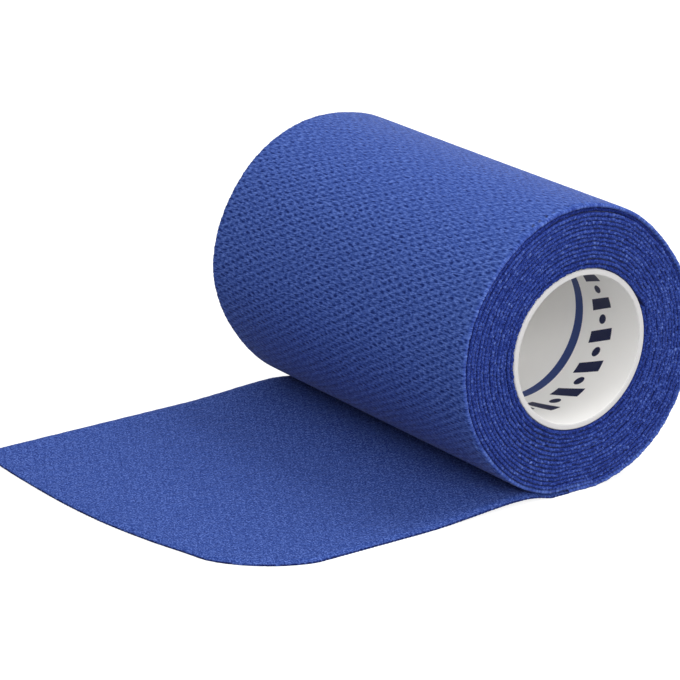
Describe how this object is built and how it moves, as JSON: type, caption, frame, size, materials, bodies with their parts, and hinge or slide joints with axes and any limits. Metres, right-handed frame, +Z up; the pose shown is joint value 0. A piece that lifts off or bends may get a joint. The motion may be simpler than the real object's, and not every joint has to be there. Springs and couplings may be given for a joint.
{
  "type": "cohesive bandage roll",
  "caption": "Blue cohesive crepe bandage wound on a white core tube, lying on its side with its loose end laid out flat.",
  "frame": {"origin": "on the surface the roll lies on, straight below the core's axis, at the middle of the strip's width", "axes": "Y along the roll's axis, +X away from the loose end, +Z up; seen from -Y the outer turn runs up the +X side and over the top"},
  "size_m": [0.1089, 0.08, 0.0549],
  "materials": {
    "wound_cloth": "matt crepe cloth",
    "loose_cloth": "matt crepe cloth, inner side",
    "core": "smooth, satin"
  },
  "bodies": {
    "root": {"wound_roll": "wound_cloth", "loose_end": "loose_cloth", "core_tube": "core"}
  },
  "joints": []
}
